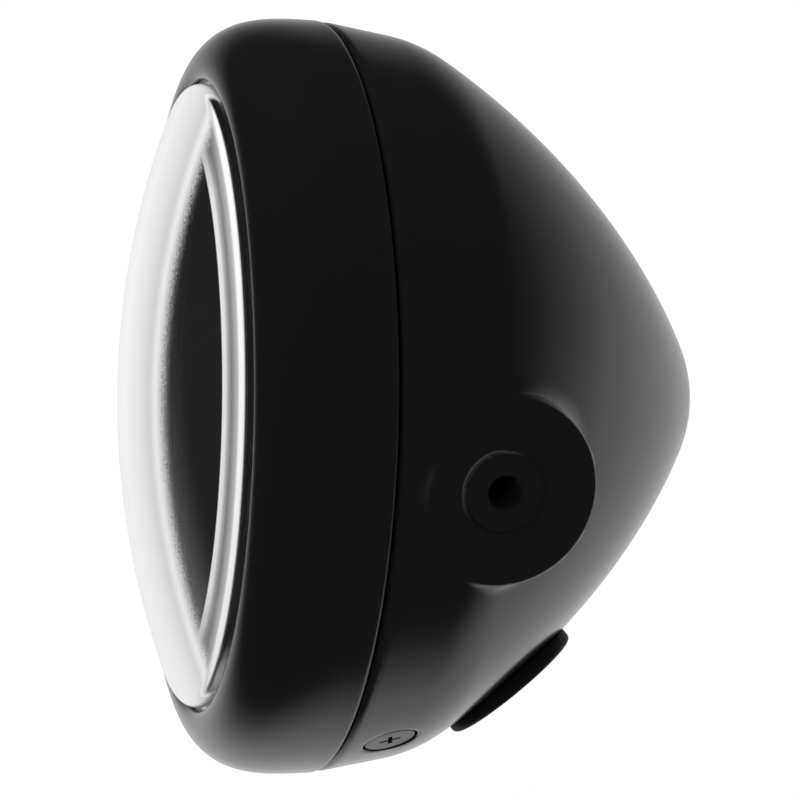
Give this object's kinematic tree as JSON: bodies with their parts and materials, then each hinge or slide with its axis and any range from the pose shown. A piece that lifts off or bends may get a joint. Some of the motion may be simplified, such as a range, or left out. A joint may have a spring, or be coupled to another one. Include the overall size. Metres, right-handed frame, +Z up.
{
  "type": "round motorcycle headlight",
  "caption": "Round motorcycle headlight: black pressed shell with two threaded side bosses, trim ring, domed clear lens, reflector and bulb.",
  "frame": {"origin": "on the lamp's axis, halfway between the crown of the lens and the tip of the shell", "axes": "-Y is the way the lamp shines, +Y points to the tip of the shell, +X runs through the bosses, +Z is up"},
  "size_m": [0.17, 0.134, 0.17],
  "materials": {
    "black_enamel": "gloss black stove enamel",
    "lens_glass": "clear pressed glass",
    "reflector_mirror": "aluminised and lacquered",
    "black_rubber": "matt moulded rubber",
    "zinc_steel": "bright zinc plate",
    "spring_steel": "bright spring steel",
    "black_screw": "black zinc plate",
    "bulb_glass": "clear quartz glass",
    "contact_brass": "tinned brass",
    "black_plastic": "moulded black plastic",
    "sealant": "dark grey bead"
  },
  "bodies": {
    "root": {"headlight_shell": "black_enamel", "mount_insert_left": "black_enamel", "mount_insert_right": "black_enamel", "cable_grommet": "black_rubber", "trim_ring": "black_enamel", "ring_bracket_left": "zinc_steel", "ring_bracket_right": "zinc_steel", "top_hook": "zinc_steel", "captive_nut_left": "zinc_steel", "captive_nut_right": "zinc_steel", "fixing_screw_left": "black_screw", "fixing_screw_right": "black_screw", "lens_gasket": "black_rubber", "headlight_lens": "lens_glass", "lens_sealant": "sealant", "reflector": "reflector_mirror", "spring_clip_upper_left": "spring_steel", "spring_clip_upper_right": "spring_steel", "spring_clip_lower_left": "spring_steel", "spring_clip_lower_right": "spring_steel", "bulb_collar": "zinc_steel", "bulb_base": "zinc_steel", "bulb_glass": "bulb_glass", "bulb_filaments": "spring_steel", "bulb_contacts": "contact_brass", "bulb_retaining_spring": "spring_steel", "rubber_boot": "black_rubber", "parking_bulb_holder": "black_plastic", "parking_bulb": "bulb_glass"}
  },
  "joints": []
}
